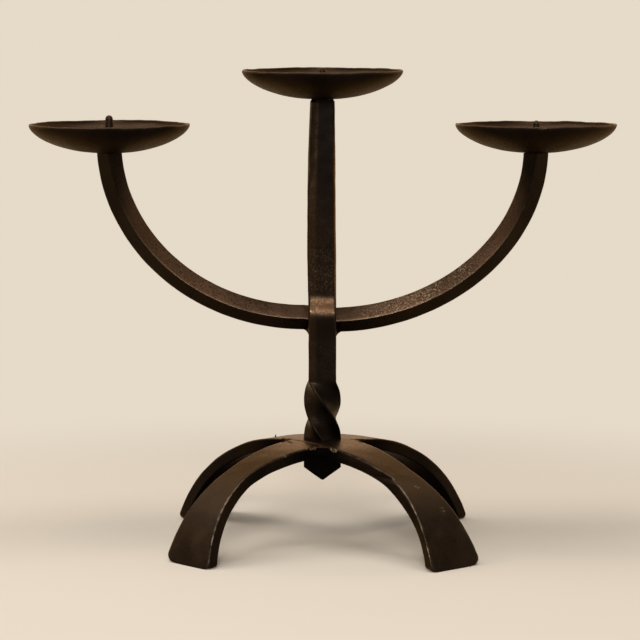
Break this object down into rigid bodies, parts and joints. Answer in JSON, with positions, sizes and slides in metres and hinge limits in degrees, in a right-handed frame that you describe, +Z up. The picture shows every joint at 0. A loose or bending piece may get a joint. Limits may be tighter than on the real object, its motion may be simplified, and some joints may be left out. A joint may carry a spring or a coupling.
{
  "type": "pricket candelabra",
  "caption": "Hand-forged iron candelabra: a square stem with a twisted foot on arched, splayed legs, a curved bar through the stem as its arms, and dished pans with spikes for pillar candles.",
  "frame": {"origin": "on the table, under the middle of the whole candelabra's box; the stem's axis stands 2.7 mm behind it, because one front foot reaches further out than the other three", "axes": "+Z up, X along the arms with +X at the right arm, and -Y towards the viewer of the picture"},
  "size_m": [0.393, 0.215, 0.3196],
  "materials": {
    "blackened_iron": "forged square and flat bar, oil-blackened and waxed to a brown-black satin",
    "pan_iron": "hammer-dished sheet iron, oil-blackened and waxed, brown on its faces",
    "pricket_iron": "forged rod, blackened, a little worn",
    "weld_iron": "ground weld bead, blackened, rough"
  },
  "bodies": {
    "root": {"stem": "blackened_iron", "arm_bar": "blackened_iron", "leg_bar_lower": "blackened_iron", "leg_bar_upper": "blackened_iron", "crown_weld_back": "weld_iron", "crown_weld_left": "weld_iron", "crown_weld_front": "weld_iron", "crown_weld_right": "weld_iron", "arm_weld_left": "weld_iron", "arm_weld_right": "weld_iron", "pan_left": "pan_iron", "pan_center": "pan_iron", "pan_right": "pan_iron", "pricket_left": "pricket_iron", "pricket_center": "pricket_iron", "pricket_right": "pricket_iron"}
  },
  "joints": []
}
